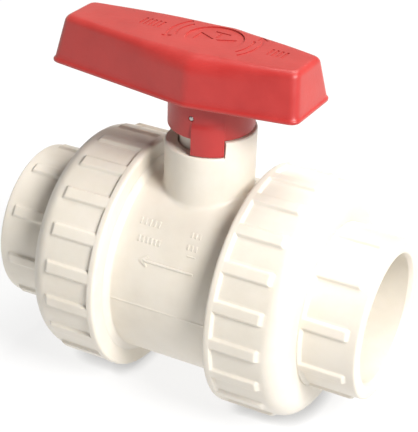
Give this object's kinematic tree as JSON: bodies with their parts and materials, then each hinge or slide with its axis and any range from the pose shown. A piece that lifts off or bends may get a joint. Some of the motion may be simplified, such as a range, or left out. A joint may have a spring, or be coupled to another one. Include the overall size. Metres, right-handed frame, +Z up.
{
  "type": "ball valve",
  "caption": "Double-union plastic ball valve: barrel body with a stem neck, ribbed union nuts, plain solvent sockets and a hollow T handle that turns the ball a quarter turn to shut the flow.",
  "frame": {"origin": "on the floor under the stem axis, the centre of the bottom of the bounding box", "axes": "+X along the pipe axis towards the end with the seat carrier, +Z up along the stem, -Y towards the side with the stop tab"},
  "size_m": [0.1524, 0.0952, 0.1418],
  "materials": {
    "ivory_pvc": "satin moulded ivory-white PVC",
    "ball_pvc": "polished",
    "red_plastic": "satin moulded red plastic",
    "seat_ptfe": "waxy white",
    "black_rubber": "matt",
    "pin_steel": "bright"
  },
  "bodies": {
    "housing": {"valve_body": "ivory_pvc", "seat_left": "seat_ptfe", "seat_right": "seat_ptfe", "seat_o_ring_left": "black_rubber", "seat_o_ring_right": "black_rubber", "seat_carrier": "ivory_pvc", "carrier_o_ring": "black_rubber", "face_o_ring_left": "black_rubber", "face_o_ring_right": "black_rubber"},
    "stem_and_handle": {"stem": "ivory_pvc", "thrust_washer": "seat_ptfe", "stem_o_ring_lower": "black_rubber", "stem_o_ring_upper": "black_rubber", "handle": "red_plastic", "handle_pin": "pin_steel"},
    "ball": {"ball": "ball_pvc"},
    "tailpiece_left": {"tailpiece_left": "ivory_pvc"},
    "tailpiece_right": {"tailpiece_right": "ivory_pvc"},
    "nut_left": {"union_nut_left": "ivory_pvc"},
    "nut_right": {"union_nut_right": "ivory_pvc"}
  },
  "joints": [
    {"name": "handle_turn", "type": "hinge", "parent": "housing", "child": "stem_and_handle", "pos_m": [0, 0, 0.1], "axis": [0, 0, -1], "range_deg": [0, 90]},
    {"name": "ball_turn", "type": "hinge", "parent": "housing", "child": "ball", "pos_m": [0, 0, 0.04762], "axis": [0, 0, -1], "range_deg": [0, 90]},
    {"name": "left_nut_turn", "type": "hinge", "parent": "tailpiece_left", "child": "nut_left", "pos_m": [-0.04, 0, 0.04762], "axis": [-1, 0, 0], "range_deg": [0, 1440]},
    {"name": "left_union_slide", "type": "slide", "parent": "housing", "child": "tailpiece_left", "axis": [-1, 0, 0], "range_m": [0, 0.0161]},
    {"name": "right_nut_turn", "type": "hinge", "parent": "tailpiece_right", "child": "nut_right", "pos_m": [0.04, 0, 0.04762], "axis": [1, 0, 0], "range_deg": [0, 1440]},
    {"name": "right_union_slide", "type": "slide", "parent": "housing", "child": "tailpiece_right", "axis": [1, 0, 0], "range_m": [0, 0.0161]}
  ],
  "couplings": [
    {"joint": "ball_turn", "follows": "handle_turn", "ratio": 1},
    {"joint": "left_union_slide", "follows": "left_nut_turn", "m_per_rad": 0.00063662},
    {"joint": "right_union_slide", "follows": "right_nut_turn", "m_per_rad": 0.00063662}
  ]
}
